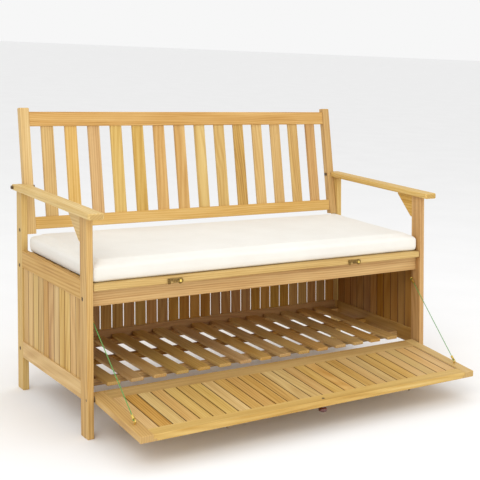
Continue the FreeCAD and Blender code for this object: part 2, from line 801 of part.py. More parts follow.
def screw_eyes():
    legs = new_body("leg_screw_eyes")
    for side in (LEFT, RIGHT):
        centre = (f"{sign(side)} * leg_eye_x", "leg_eye_y", "leg_eye_z")
        ring(legs, centre, FreeCAD.Rotation(FreeCAD.Vector(1, 0, 0), EYE_TILT), "eye_ring", "eye_wire")
        start = f"leg_eye_x + eye_ring"
        long = f"{LEG_INNER} + eye_screw_in - ({start})"
        round_bar(legs, X, (low_x(side, start, long), "leg_eye_y", "leg_eye_z"), "2 * eye_screw", long)
    flap = new_body("flap_screw_eyes", "flap")
    for side in (LEFT, RIGHT):
        place = "flap_eye_in - flap_tail"
        centre = (f"{sign(side)} * flap_eye_x", f"{INNER_FACE} + flap_eye_up", place)
        ring(flap, centre, FreeCAD.Rotation(FreeCAD.Vector(0, 1, 0), 90), "eye_ring", "eye_wire")
        start = (f"{sign(side)} * flap_eye_x", f"{INNER_FACE} - eye_screw_in", place)
        round_bar(flap, Y, start, "2 * eye_screw", "eye_screw_in + flap_eye_up - eye_ring")


def flap_point(y, z):
    """A place given in the flap's frame, as a point of the finished model with the flap open."""
    angle = math.radians(value("flap_open"))
    across = value("pivot_y - centre_setback") + y * math.cos(angle) - z * math.sin(angle)
    return across, value("pivot_z") + y * math.sin(angle) + z * math.cos(angle)


def stay_line(side):
    """The straight line of one stay, from the leg's screw eye to the flap's."""
    across = sign(side) * value("leg_eye_x")
    top = FreeCAD.Vector(across, value("leg_eye_y - centre_setback"), value("leg_eye_z"))
    y, z = flap_point(value(f"{INNER_FACE} + flap_eye_up"), value("flap_eye_in - flap_tail"))
    return top, FreeCAD.Vector(sign(side) * value("flap_eye_x"), y, z)


def stays():
    """Each taut stay cord and the crimped ferrules that close its two end loops."""
    reach = value("eye_ring + eye_wire + ferrule_off")
    long = value("ferrule_long")
    ferrules = {"leg_cord_ferrules": [], "flap_cord_ferrules": []}
    for side in (LEFT, RIGHT):
        top, bottom = stay_line(side)
        way = (bottom - top).normalize()
        first = top + way * reach
        last = bottom - way * reach
        radius = value("ferrule_wide") / 2
        ferrules["leg_cord_ferrules"].append(Part.makeCylinder(radius, long, first, way))
        ferrules["flap_cord_ferrules"].append(Part.makeCylinder(radius, long, last - way * long, way))
        start = first + way * long
        span = (last - way * long - start).Length
        cord = doc.addObject("Part::Feature", f"{side}_stay_cord")
        cord.Label = f"{side}_stay_cord"
        cord.Shape = Part.makeCylinder(value("cord_wide") / 2, span, start, way)
        ALL_PARTS.append(cord)
        print(cord.Label, "length", round(span, 1), "from", start, "to", last - way * long)
    for name, solids in ferrules.items():
        group = doc.addObject("Part::Feature", name)
        group.Label = name
        group.Shape = Part.makeCompound(solids)
        ALL_PARTS.append(group)


def seat_cushion():
    body = new_body("seat_cushion")
    start = ("-cushion_half", "cushion_front", "cushion_low")
    size = ("2 * cushion_half", "cushion_back - cushion_front", "cushion_top - cushion_low")
    block(body, start, size)
    rounded(body, "cushion_round", lambda edge, box: True)


def build():
    for side in (LEFT, RIGHT):
        front_leg(side)
        rear_leg(side)
        side_rail(side, "lower_side_rail", "side_low", "side_low_top", "side_low_top - tongue")
        side_rail(side, "upper_side_rail", "side_high", "side_high_top", "side_high")
        side_boards(side)
        armrest(side)
        arm_bracket(side)
        back_stile(side)
    back_rail("back_bottom_rail", "back_rail_low", "back_rail_low_top", "back_rail_low_top - tongue")
    back_rail("back_top_rail", "back_rail_high", "back_rail_high_top", "back_rail_high")
    back_slats()
    cross_rail("front_apron", "apron_y", "apron_thick", "apron_low", "seat_low", holes=[FRONT_BOLT])
    rear = ("rear_y", "rear_thick")
    cross_rail("rear_upper_rail", *rear, "apron_low", "seat_low", "apron_low", [REAR_BOLTS[1]])
    groove_low = "rear_low_top - tongue"
    cross_rail("rear_lower_rail", *rear, "side_low", "rear_low_top", groove_low, [REAR_BOLTS[2]])
    rear_boards()
    seat()
    storage_floor()
    flap_frame()
    flap_boards()
    flap_pivots()
    pull_knob()
    latch_pegs()
    for side in (LEFT, RIGHT):
        latch_hook(side)
    latch_fixings()
    bolts()
    screw_eyes()
    stays()
    seat_cushion()


def write():
    doc.recompute()
    for thing in doc.Objects:
        if "Invalid" in thing.State or "Error" in thing.State:
            raise RuntimeError(f"{thing.Name} failed: {thing.State}")
    os.makedirs("parts", exist_ok=True)
    whole = FreeCAD.BoundBox()
    for part in ALL_PARTS:
        if part.Shape.isNull() or not part.Shape.isValid() or not part.Shape.Solids:
            raise RuntimeError(f"{part.Label} has no valid shape")
        part.Shape.exportStep(f"parts/{part.Label}.step")
        whole.add(part.Shape.BoundBox)
        print(f"{part.Label}: {len(part.Shape.Solids)} solids, {part.Shape.Volume / 1000:.1f} cm3")
    print(len(ALL_PARTS), "nodes", whole)


build()
write()
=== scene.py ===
import math

import bmesh
import bpy
from mathutils import Euler, Matrix, Vector, noise


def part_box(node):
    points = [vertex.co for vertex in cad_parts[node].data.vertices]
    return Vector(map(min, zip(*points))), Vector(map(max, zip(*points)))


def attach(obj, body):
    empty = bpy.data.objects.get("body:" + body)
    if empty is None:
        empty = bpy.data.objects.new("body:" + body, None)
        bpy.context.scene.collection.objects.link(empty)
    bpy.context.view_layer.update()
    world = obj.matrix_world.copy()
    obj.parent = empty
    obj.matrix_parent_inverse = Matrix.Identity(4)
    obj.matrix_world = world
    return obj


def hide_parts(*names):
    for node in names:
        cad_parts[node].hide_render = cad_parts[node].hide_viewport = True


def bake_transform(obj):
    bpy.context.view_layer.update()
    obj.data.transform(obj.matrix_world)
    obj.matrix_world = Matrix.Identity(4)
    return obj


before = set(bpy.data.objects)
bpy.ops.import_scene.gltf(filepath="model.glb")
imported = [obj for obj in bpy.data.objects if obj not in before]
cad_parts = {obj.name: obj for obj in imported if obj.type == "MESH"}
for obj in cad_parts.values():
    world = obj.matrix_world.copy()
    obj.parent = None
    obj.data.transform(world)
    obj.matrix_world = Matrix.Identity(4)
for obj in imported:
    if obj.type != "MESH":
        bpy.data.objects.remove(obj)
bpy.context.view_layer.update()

AXES = "XYZ"
LENGTHWISE = "X"
DEPTHWISE = "Y"
UPRIGHT = "Z"
RECLINE = math.radians(8.47)
FLAP_SLOPE = math.radians(4.56)


# ---------------------------------------------------------------- node helpers


def link(tree, source, target):
    tree.links.new(source, target)


def math_node(tree, operation, first, second=None, third=None, clamp=False):
    """A Math node whose inputs are sockets or plain numbers; returns its output."""
    node = tree.nodes.new("ShaderNodeMath")
    node.operation = operation
    node.use_clamp = clamp
    for place, value in enumerate((first, second, third)):
        if value is None:
            continue
        if isinstance(value, (int, float)):
            node.inputs[place].default_value = value
        else:
            link(tree, value, node.inputs[place])
    return node.outputs[0]


def noise_node(tree, vector, scale, detail=3.0, roughness=0.5, w=None):
    """Noise over a vector, with a fourth coordinate when w is given; returns its factor output."""
    node = tree.nodes.new("ShaderNodeTexNoise")
    node.noise_dimensions = "3D" if w is None else "4D"
    node.inputs["Scale"].default_value = scale
    node.inputs["Detail"].default_value = detail
    node.inputs["Roughness"].default_value = roughness
    link(tree, vector, node.inputs["Vector"])
    if w is not None:
        link(tree, w, node.inputs["W"])
    return node.outputs["Fac"]


def stretched(tree, across, along, scale_across, scale_along):
    """A vector of two across coordinates and one along, each with its own scale."""
    node = tree.nodes.new("ShaderNodeCombineXYZ")
    scales = (scale_across, scale_across, scale_along)
    for place, (socket, scale) in enumerate(zip((*across, along), scales)):
        link(tree, math_node(tree, "MULTIPLY", socket, scale), node.inputs[place])
    return node.outputs[0]


def plain_vector(tree, axes):
    """The three coordinates as one vector."""
    return stretched(tree, (axes["X"], axes["Y"]), axes["Z"], 1.0, 1.0)


def ramp(tree, factor, stops):
    """A colour ramp from (place, linear colour) pairs."""
    node = tree.nodes.new("ShaderNodeValToRGB")
    elements = node.color_ramp.elements
    for element, (place, colour) in zip(elements, (stops[0], stops[-1])):
        element.position = place
        element.color = (*colour, 1)
    for place, colour in stops[1:-1]:
        elements.new(place).color = (*colour, 1)
    link(tree, factor, node.inputs[0])
    return node.outputs[0]


def mix_colour(tree, factor, first, second, blend="MIX"):
    """A colour Mix node whose inputs are sockets or linear colours; returns its output."""
    node = tree.nodes.new("ShaderNodeMix")
    node.data_type = "RGBA"
    node.blend_type = blend
    for place, value in ((0, factor), (6, first), (7, second)):
        if isinstance(value, tuple):
            node.inputs[place].default_value = (*value, 1)
        else:
            link(tree, value, node.inputs[place])
    return node.outputs[2]


def map_range(tree, value, low, high):
    """The value's share of the way from low to high, held between 0 and 1."""
    node = tree.nodes.new("ShaderNodeMapRange")
    node.inputs["From Min"].default_value = low
    node.inputs["From Max"].default_value = high
    link(tree, value, node.inputs["Value"])
    return node.outputs[0]


def bump(tree, height, distance, strength, under=None):
    """A normal tilted by a height, over another bump when under is given."""
    node = tree.nodes.new("ShaderNodeBump")
    node.inputs["Distance"].default_value = distance
    node.inputs["Strength"].default_value = strength
    link(tree, height, node.inputs["Height"])
    if under is not None:
        link(tree, under, node.inputs["Normal"])
    return node.outputs[0]


def new_material(name):
    """A new material, its node tree and its Principled shader."""
    material = bpy.data.materials.new(name)
    material.use_nodes = True
    return material, material.node_tree, material.node_tree.nodes["Principled BSDF"]


def position(tree, tilt=0.0):
    """The surface point in the frame's metres, turned about X by tilt; returns its three coordinates."""
    place = tree.nodes.new("ShaderNodeTexCoord").outputs["Object"]
    if tilt:
        turn = tree.nodes.new("ShaderNodeMapping")
        turn.inputs["Rotation"].default_value = (tilt, 0, 0)
        link(tree, place, turn.inputs["Vector"])
        place = turn.outputs[0]
    split = tree.nodes.new("ShaderNodeSeparateXYZ")
    link(tree, place, split.inputs[0])
    return dict(zip(AXES, split.outputs))


def normal_along(tree, axis, tilt=0.0):
    """The surface normal's part along an axis of the piece's own frame, turned about X by tilt."""
    normal = tree.nodes.new("ShaderNodeTexCoord").outputs["Normal"]
    if tilt:
        turn = tree.nodes.new("ShaderNodeMapping")
        turn.vector_type = "NORMAL"
        turn.inputs["Rotation"].default_value = (tilt, 0, 0)
        link(tree, normal, turn.inputs["Vector"])
        normal = turn.outputs[0]
    split = tree.nodes.new("ShaderNodeSeparateXYZ")
    link(tree, normal, split.inputs[0])
    return split.outputs[AXES.index(axis)]


# ---------------------------------------------------------------- wood

WOOD_PALE = (0.73, 0.525, 0.235)
WOOD_LIGHT = (0.63, 0.412, 0.143)
WOOD_MID = (0.49, 0.280, 0.074)
WOOD_DEEP = (0.26, 0.118, 0.026)
WOOD_KNOT = (0.10, 0.035, 0.009)
# Multiplied into the faces inside the box as painted shade.
INSIDE_PAINTED_SHADE = (0.66, 0.52, 0.33)
WOOD_SHADES = ((0.0, WOOD_PALE), (0.32, WOOD_LIGHT), (0.66, WOOD_MID), (1.0, WOOD_DEEP))
END_SHADES = ((0.0, WOOD_LIGHT), (1.0, WOOD_DEEP))

# Each noise: its scale across the grain, its scale along it, its detail and its roughness.
DRIFT = (9.0, 1.6, 2.0, 0.5)
STREAKS = (95.0, 1.9, 4.0, 0.62)
FIBRES = (620.0, 11.0, 2.0, 0.6)
CLOUD = (14.0, 3.2, 3.0, 0.55)
PORES = (1500.0, 55.0, 1.0, 0.5)

# Each layer of the figure: where its noise starts and ends, and how much it darkens.
STREAK_LAYER = (0.28, 0.74, 0.42)
FIBRE_LAYER = (0.3, 0.7, 0.16)
CLOUD_LAYER = (0.3, 0.72, 0.26)
RING_DARKENS = 0.20
BOARD_SPREAD = 0.26
BOARD_LEAST = -0.14

BOARD_SEED = 17.31
RING_WIDTH = 0.0065
RING_LEAN = 0.018
PITH_SPREAD = 0.16
PITH_WANDER = 0.05
PORE_START = 0.66
PORE_FULL = 0.78
PORE_DARKENS = 0.35

# Knots: cells across and along the grain; then each spot's edge, its full depth and how much it darkens.
KNOT_CELLS = (5.2, 2.4)
KNOT_RAGGED = 0.05
KNOT_HALO = (0.16, 0.06, 0.45)
KNOT_HEART = (0.075, 0.042, 0.8)

END_START = 0.82
END_FULL = 0.95
END_LEAST = 0.30
END_RINGS = 0.16
END_ROUGHER = 0.2
# The joint line's core and how much it darkens: dirt in the joint and painted shade in its groove.
JOINT_CORE = 0.45
JOINT_DIRT_AND_SHADE = 0.78
INSIDE_FULL = 0.6

# What luck or a noise adds at most, and the value without it.
HUE_SPREAD = (0.016, 0.492)
SATURATION_SPREAD = (0.16, 0.90)
VALUE_SPREAD = (0.14, 0.94)
ROUGHNESS_SPREAD = (0.18, 0.44)
WOOD_SPECULAR = 0.25
RING_HEIGHT = 0.25
PORE_HEIGHT = -0.6
WOOD_RELIEF = (0.00025, 0.55)


def grain_noise(tree, across, along, board, recipe):
    """Noise drawn out along the grain, different on every board."""
    scale_across, scale_along, detail, roughness = recipe
    vector = stretched(tree, across, along, scale_across, scale_along)
    return noise_node(tree, vector, 1.0, detail, roughness, board)


def board_luck(tree, board):
    """Three random numbers from 0 to 1 for each board."""
    dice = tree.nodes.new("ShaderNodeTexWhiteNoise")
    dice.noise_dimensions = "1D"
    link(tree, board, dice.inputs["W"])
    throws = tree.nodes.new("ShaderNodeSeparateXYZ")
    link(tree, dice.outputs["Color"], throws.inputs[0])
    return throws.outputs


def growth_rings(tree, across, along, board, luck):
    """Arcs, from 0 to 1, about a pith line of each board's own that wanders along it."""
    drift = grain_noise(tree, across, along, board, DRIFT)
    squares = []
    for socket, throw in zip(across, luck):
        pith = math_node(tree, "MULTIPLY_ADD", throw, PITH_SPREAD, -PITH_SPREAD / 2)
        wander = math_node(tree, "MULTIPLY_ADD", drift, PITH_WANDER, -PITH_WANDER / 2)
        reach = math_node(tree, "SUBTRACT", math_node(tree, "ADD", socket, pith), wander)
        squares.append(math_node(tree, "POWER", reach, 2.0))
    radius = math_node(tree, "SQRT", math_node(tree, "ADD", *squares))
    leaned = math_node(tree, "MULTIPLY_ADD", along, RING_LEAN, radius)
    turns = math_node(tree, "MULTIPLY", leaned, math.tau / RING_WIDTH)
    return math_node(tree, "MULTIPLY_ADD", math_node(tree, "SINE", turns), 0.5, 0.5)


def knotted(tree, colour, across, along, board, streaks):
    """The colour with a few small knots, longer along the grain, each a dark heart in a fainter halo."""
    cells = tree.nodes.new("ShaderNodeTexVoronoi")
    cells.voronoi_dimensions = "4D"
    cells.inputs["Scale"].default_value = 1.0
    link(tree, stretched(tree, across, along, *KNOT_CELLS), cells.inputs["Vector"])
    link(tree, board, cells.inputs["W"])
    ragged = math_node(tree, "MULTIPLY_ADD", streaks, KNOT_RAGGED, cells.outputs["Distance"])
    for (edge, full, darkens), dark in ((KNOT_HALO, WOOD_DEEP), (KNOT_HEART, WOOD_KNOT)):
        spot = math_node(tree, "MULTIPLY", map_range(tree, ragged, edge, full), darkens)
        colour = mix_colour(tree, spot, colour, dark)
    return colour


def jointed(tree, colour, count, pitch, joint):
    """The colour with a darker line where one tight board meets the next: dirt in the joint and painted
    shade in its groove.
    """
    from_joint = math_node(tree, "SUBTRACT", count, math_node(tree, "ROUND", count))
    nearest = math_node(tree, "ABSOLUTE", from_joint)
    seam = map_range(tree, nearest, joint / pitch, JOINT_CORE * joint / pitch)
    return mix_colour(tree, math_node(tree, "MULTIPLY", seam, JOINT_DIRT_AND_SHADE), colour, WOOD_KNOT)


def shaded_inside(tree, colour, axis, side, strength):
    """The colour with painted shade on the faces that look one way along an axis, the faces inside the box.
    """
    turned_in = map_range(tree, normal_along(tree, axis), 0.0, INSIDE_FULL * side)
    painted_shade = math_node(tree, "MULTIPLY", turned_in, strength)
    return mix_colour(tree, painted_shade, colour, INSIDE_PAINTED_SHADE, "MULTIPLY")


def wood(name, grain, seed, boards=None, tilt=0.0, tone=0.0, inside=None):
    """Oiled light hardwood.

    grain is the axis that the fibres run along. boards is (axis, first edge, pitch, joint) where one node
    holds a row of boards, so that each has its own colour and figure; joint is the half width of the darker
    line where tight boards meet, dirt in the joint and painted shade in its groove. inside is (axis, side,
    strength) of the faces inside the box that get painted shade.
    """
    material, tree, shader = new_material(name)
    axes = position(tree, tilt)
    along = axes[grain]
    across = [axes[axis] for axis in AXES if axis != grain]
    if boards:
        axis, first, pitch, joint = boards
        count = math_node(tree, "DIVIDE", math_node(tree, "SUBTRACT", axes[axis], first), pitch)
        board = math_node(tree, "ADD", math_node(tree, "FLOOR", count), seed * BOARD_SEED)
    else:
        board = math_node(tree, "ADD", 0.0, seed * BOARD_SEED)
    luck, luck_two, luck_three = board_luck(tree, board)

    rings = growth_rings(tree, across, along, board, (luck_two, luck_three))
    streaks = grain_noise(tree, across, along, board, STREAKS)
    fibres = grain_noise(tree, across, along, board, FIBRES)
    cloud = grain_noise(tree, across, along, board, CLOUD)
    figure = math_node(tree, "MULTIPLY", rings, RING_DARKENS)
    layers = ((streaks, STREAK_LAYER), (fibres, FIBRE_LAYER), (cloud, CLOUD_LAYER))
    for layer, (low, high, darkens) in layers:
        figure = math_node(tree, "MULTIPLY_ADD", map_range(tree, layer, low, high), darkens, figure)
    # The board's luck plus the piece's tone: its own wood, with painted light and shade.
    own = math_node(tree, "MULTIPLY_ADD", luck, BOARD_SPREAD, tone + BOARD_LEAST)
    colour = ramp(tree, math_node(tree, "ADD", figure, own, clamp=True), WOOD_SHADES)

    # Open pores: short dark dashes along the grain.
    dashes = map_range(tree, grain_noise(tree, across, along, board, PORES), PORE_START, PORE_FULL)
    colour = mix_colour(tree, math_node(tree, "MULTIPLY", dashes, PORE_DARKENS), colour, WOOD_DEEP)
    colour = knotted(tree, colour, across, along, board, streaks)

    # Sawn ends: darker, with the rings seen as arcs.
    squarely = math_node(tree, "ABSOLUTE", normal_along(tree, grain, tilt))
    end = map_range(tree, squarely, END_START, END_FULL)
    end_rings = math_node(tree, "MULTIPLY_ADD", rings, END_RINGS, END_LEAST)
    colour = mix_colour(tree, end, colour, ramp(tree, end_rings, END_SHADES))

    # Dirt and painted shade in the joints between tight boards.
    if boards and joint:
        colour = jointed(tree, colour, count, pitch, joint)
    # Painted shade on the faces inside the box.
    if inside:
        colour = shaded_inside(tree, colour, *inside)

    # Each board also has its own warmth, and handling has left it a little uneven.
    tint = tree.nodes.new("ShaderNodeHueSaturation")
    link(tree, math_node(tree, "MULTIPLY_ADD", luck_two, *HUE_SPREAD), tint.inputs["Hue"])
    link(tree, math_node(tree, "MULTIPLY_ADD", luck_three, *SATURATION_SPREAD), tint.inputs["Saturation"])
    link(tree, math_node(tree, "MULTIPLY_ADD", cloud, *VALUE_SPREAD), tint.inputs["Value"])
    link(tree, colour, tint.inputs["Color"])
    link(tree, tint.outputs[0], shader.inputs["Base Color"])

    sheen = math_node(tree, "MULTIPLY_ADD", fibres, *ROUGHNESS_SPREAD)
    link(tree, math_node(tree, "MULTIPLY_ADD", end, END_ROUGHER, sheen), shader.inputs["Roughness"])
    shader.inputs["Specular IOR Level"].default_value = WOOD_SPECULAR
    height = math_node(tree, "MULTIPLY_ADD", rings, RING_HEIGHT, fibres)
    height = math_node(tree, "MULTIPLY_ADD", dashes, PORE_HEIGHT, height)
    link(tree, bump(tree, height, *WOOD_RELIEF), shader.inputs["Normal"])
    return material


# ---------------------------------------------------------------- metal, lacquer, cloth and cord

# Each metal: its colour, its tarnish and its roughness.
ANTIQUE_BRASS = ((0.30, 0.19, 0.06), (0.10, 0.06, 0.025), 0.42)
BRIGHT_BRASS = ((0.86, 0.66, 0.16), (0.62, 0.42, 0.10), 0.25)
DULL_ZINC = ((0.24, 0.17, 0.10), (0.11, 0.075, 0.045), 0.45)
TARNISH_SCALE = 260.0
TARNISH_ROUGHER = 0.15
TARNISH_SPREAD = -0.25
SCRATCH_SCALES = (3000.0, 400.0)
SCRATCH_RELIEF = (0.00005, 0.5)

LACQUER_SHADES = ((0.3, (0.055, 0.008, 0.006)), (0.7, (0.13, 0.022, 0.012)))
LACQUER_SCALES = (500.0, 60.0)
LACQUER_ROUGHNESS = 0.22
LACQUER_COAT = 0.6
LACQUER_RELIEF = (0.00008, 0.3)

CLOTH_SHADES = ((0.3, (0.765, 0.745, 0.690)), (0.7, (0.815, 0.800, 0.750)))
CLOTH_HOLLOW = (0.70, 0.66, 0.58)
CLOTH_SLUB = (0.93, 0.91, 0.87)
WEAVE_REPEAT = 0.0014
WEAVE_DARKENS = 0.10
SLUB_SCALES = (520.0, 24.0)
SLUB_START = 0.55
SLUB_FULL = 0.75
SLUB_LIGHTENS = 0.15
SLUB_HEIGHT = 0.6
SOILING_SCALE = 7.0
CREASE_SCALE = 22.0
CREASE_RELIEF = (0.004, 0.22)
WEAVE_RELIEF = (0.0003, 0.5)
CLOTH_FINISH = {
    "Roughness": 0.88,
    "Sheen Weight": 0.25,
    "Sheen Roughness": 0.5,
    "Specular IOR Level": 0.2,
}

BRAID_SHADES = ((0.2, (0.02, 0.14, 0.03)), (0.6, (0.08, 0.36, 0.08)), (0.9, (0.32, 0.58, 0.13)))
BRAID_RISE = 0.004
BRAID_STRAND = 0.003
BRAID_ROUGHNESS = 0.6
BRAID_RELIEF = (0.0004, 0.8)


def metal(name, colour, dark, roughness):
    """A small metal fitting: plated or aged, with mottled tarnish and fine scratches."""
    material, tree, shader = new_material(name)
    axes = position(tree)
    mottle = noise_node(tree, plain_vector(tree, axes), TARNISH_SCALE, 4.0, 0.6)
    scratched = stretched(tree, (axes["X"], axes["Z"]), axes["Y"], *SCRATCH_SCALES)
    scratch = noise_node(tree, scratched, 1.0, 2.0)
    link(tree, ramp(tree, mottle, ((0.35, dark), (0.6, colour))), shader.inputs["Base Color"])
    shader.inputs["Metallic"].default_value = 1.0
    dulled = math_node(tree, "MULTIPLY_ADD", mottle, TARNISH_SPREAD, roughness + TARNISH_ROUGHER)
    link(tree, dulled, shader.inputs["Roughness"])
    link(tree, bump(tree, scratch, *SCRATCH_RELIEF), shader.inputs["Normal"])
    return material


def lacquer():
    """The knob's dark red-brown lacquer over wood."""
    material, tree, shader = new_material("knob_lacquer")
    axes = position(tree)
    drawn_out = stretched(tree, (axes["Y"], axes["Z"]), axes["X"], *LACQUER_SCALES)
    streaks = noise_node(tree, drawn_out, 1.0, 3.0)
    link(tree, ramp(tree, streaks, LACQUER_SHADES), shader.inputs["Base Color"])
    shader.inputs["Roughness"].default_value = LACQUER_ROUGHNESS
    shader.inputs["Coat Weight"].default_value = LACQUER_COAT
    link(tree, bump(tree, streaks, *LACQUER_RELIEF), shader.inputs["Normal"])
    return material


def cushion_cloth():
    """Cream woven polyester: a plain weave of 0.7 mm threads with slubs, soft sheen and faint soiling."""
    material, tree, shader = new_material("cushion_cloth")
    axes = position(tree)
    thread = math.tau / WEAVE_REPEAT
    warp = math_node(tree, "SINE", math_node(tree, "MULTIPLY", axes["X"], thread))
    depth = math_node(tree, "ADD", axes["Y"], axes["Z"])
    weft = math_node(tree, "SINE", math_node(tree, "MULTIPLY", depth, thread))
    weave = math_node(tree, "MULTIPLY_ADD", math_node(tree, "MULTIPLY", warp, weft), 0.5, 0.5)
    vector = plain_vector(tree, axes)
    drawn_out = stretched(tree, (axes["Y"], axes["Z"]), axes["X"], *SLUB_SCALES)
    slub = noise_node(tree, drawn_out, 1.0, 3.0)
    colour = ramp(tree, noise_node(tree, vector, SOILING_SCALE), CLOTH_SHADES)
    hollows = math_node(tree, "MULTIPLY", weave, WEAVE_DARKENS)
    colour = mix_colour(tree, hollows, colour, CLOTH_HOLLOW)
    slubs = math_node(tree, "MULTIPLY", map_range(tree, slub, SLUB_START, SLUB_FULL), SLUB_LIGHTENS)
    colour = mix_colour(tree, slubs, colour, CLOTH_SLUB)
    link(tree, colour, shader.inputs["Base Color"])
    for name, value in CLOTH_FINISH.items():
        shader.inputs[name].default_value = value
    creases = bump(tree, noise_node(tree, vector, CREASE_SCALE), *CREASE_RELIEF)
    height = math_node(tree, "MULTIPLY_ADD", slub, SLUB_HEIGHT, weave)
    link(tree, bump(tree, height, *WEAVE_RELIEF, creases), shader.inputs["Normal"])
    return material


def stay_cord_braid():
    """Braided green nylon: two crossing spirals of strands with a lighter fleck."""
    material, tree, shader = new_material("green_braid")
    axes = position(tree)
    climb = math_node(tree, "MULTIPLY", axes["Z"], math.tau / BRAID_RISE)
    sideways = math_node(tree, "ADD", axes["X"], axes["Y"])
    round_it = math_node(tree, "MULTIPLY", sideways, math.tau / BRAID_STRAND)
    one = math_node(tree, "SINE", math_node(tree, "ADD", climb, round_it))
    two = math_node(tree, "SINE", math_node(tree, "SUBTRACT", climb, round_it))
    strands = math_node(tree, "MULTIPLY_ADD", math_node(tree, "MULTIPLY", one, two), 0.5, 0.5)
    link(tree, ramp(tree, strands, BRAID_SHADES), shader.inputs["Base Color"])
    shader.inputs["Roughness"].default_value = BRAID_ROUGHNESS
    link(tree, bump(tree, strands, *BRAID_RELIEF), shader.inputs["Normal"])
    return material


# ---------------------------------------------------------------- painting the CAD nodes

# Rows of equal boards in one node: the axis they follow, how many, the gap between them, and a tight joint's
# half width.
ROWS = {
    "floor_bearers": (DEPTHWISE, 3, 0.16, 0.0),
    "seat_slats": (DEPTHWISE, 7, 0.0145, 0.0),
    "seat_bearers": (LENGTHWISE, 3, 0.5, 0.0),
    "rear_boards": (LENGTHWISE, 29, 0.0053, 0.0),
    "back_slats": (LENGTHWISE, 14, 0.037, 0.0),
    "floor_slats": (LENGTHWISE, 15, 0.030, 0.0),
    "left_side_boards": (DEPTHWISE, 11, 0.0012, 0.0026),
    "right_side_boards": (DEPTHWISE, 11, 0.0012, 0.0026),
}
# The flap's row doesn't start with a whole board, so its first joint's place and its pitch are given.
FLAP_ROW = (LENGTHWISE, -0.49515, 0.03907, 0.0026)

# The faces inside the box that get painted shade: the axis they look along, which way, and how strong the
# shade is.
PAINTED_SHADE_FACES = {
    "left_side_boards": (LENGTHWISE, 1, 1.0),
    "right_side_boards": (LENGTHWISE, -1, 1.0),
    "rear_boards": (DEPTHWISE, -1, 1.0),
    "rear_lower_rail": (DEPTHWISE, -1, 1.0),
    "floor_slats": (UPRIGHT, 1, 0.3),
    "left_lower_side_rail": (LENGTHWISE, 1, 0.8),
    "right_lower_side_rail": (LENGTHWISE, -1, 0.8),
}
# Pieces darker than the rest, or paler where the number is negative: partly each piece's own wood, partly
# painted shade on pieces that sit in shade, under the seat and the floor or away from the key lamp, and
# painted light on pieces that catch it.
TONE_AND_PAINTED_LIGHT = {
    "floor_slats": -0.08,
    "floor_bearers": 0.28,
    "front_apron": 0.20,
    "seat_front_board": 0.10,
    "right_front_leg": 0.16,
    "back_top_rail": -0.06,
    "left_armrest": -0.08,
    "right_armrest": -0.08,
}
FIRST_SEED = 3

BRONZE_FITTINGS = ("left_latch_hook", "right_latch_hook", "latch_spacers")
BRASS_FITTINGS = (
    "leg_cord_ferrules", "flap_cord_ferrules", "leg_screw_eyes", "flap_screw_eyes", "latch_pivot_screws",
)
STEEL_FITTINGS = (
    "rear_leg_bolts", "front_leg_bolts", "arm_bolts", "arm_bolt_nuts", "flap_pivot_pins",
    "flap_pivot_washers", "latch_pegs", "knob_screw",
)


def paint(node, material):
    """Gives a CAD node its material."""
    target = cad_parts[node]
    target.data.materials.clear()
    target.data.materials.append(material)


def row_of(node, axis, count, gap, joint):
    """(axis, first edge, pitch, joint) of a node's row of equal boards with a gap between them."""
    low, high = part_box(node)
    place = AXES.index(axis)
    pitch = (high[place] - low[place] + gap) / count
    return axis, low[place] - gap / 2, pitch, joint


def wood_groups():
    """Every wooden node, by the way its fibres run and its tilt."""
    upright = ["rear_boards"]
    lengthwise = [
        "front_apron", "seat_front_board", "rear_upper_rail", "rear_lower_rail", "floor_bearers",
        "seat_slats",
    ]
    depthwise = ["seat_bearers", "floor_slats"]
    for side in ("left", "right"):
        upright += [f"{side}_front_leg", f"{side}_rear_leg", f"{side}_side_boards"]
        depthwise += [f"{side}_armrest", f"{side}_arm_bracket"]
        depthwise += [f"{side}_upper_side_rail", f"{side}_lower_side_rail"]
    return (
        (LENGTHWISE, RECLINE, ["back_top_rail", "back_bottom_rail"]),
        (UPRIGHT, RECLINE, ["back_slats", "left_back_stile", "right_back_stile"]),
        (LENGTHWISE, -FLAP_SLOPE, ["flap_hinge_rail", "flap_edge_rail"]),
        (DEPTHWISE, -FLAP_SLOPE, ["flap_left_stile", "flap_right_stile", "flap_boards"]),
        (LENGTHWISE, 0.0, lengthwise),
        (UPRIGHT, 0.0, upright),
        (DEPTHWISE, 0.0, depthwise),
    )


def paint_wood():
    rows = {node: row_of(node, *row) for node, row in ROWS.items()}
    rows["flap_boards"] = FLAP_ROW
    seed = FIRST_SEED
    for grain, tilt, nodes in wood_groups():
        for node in nodes:
            tone = TONE_AND_PAINTED_LIGHT.get(node, 0.0)
            paint(node, wood(f"wood_{node}", grain, seed, rows.get(node), tilt, tone, PAINTED_SHADE_FACES.get(node)))
            seed += 1


def paint_fittings():
    fittings = (
        (metal("antique_brass", *ANTIQUE_BRASS), BRONZE_FITTINGS),
        (metal("bright_brass", *BRIGHT_BRASS), BRASS_FITTINGS),
        (metal("dull_zinc", *DULL_ZINC), STEEL_FITTINGS),
        (lacquer(), ("pull_knob",)),
    )
    for material, nodes in fittings:
        for node in nodes:
            paint(node, material)


# ---------------------------------------------------------------- cushion

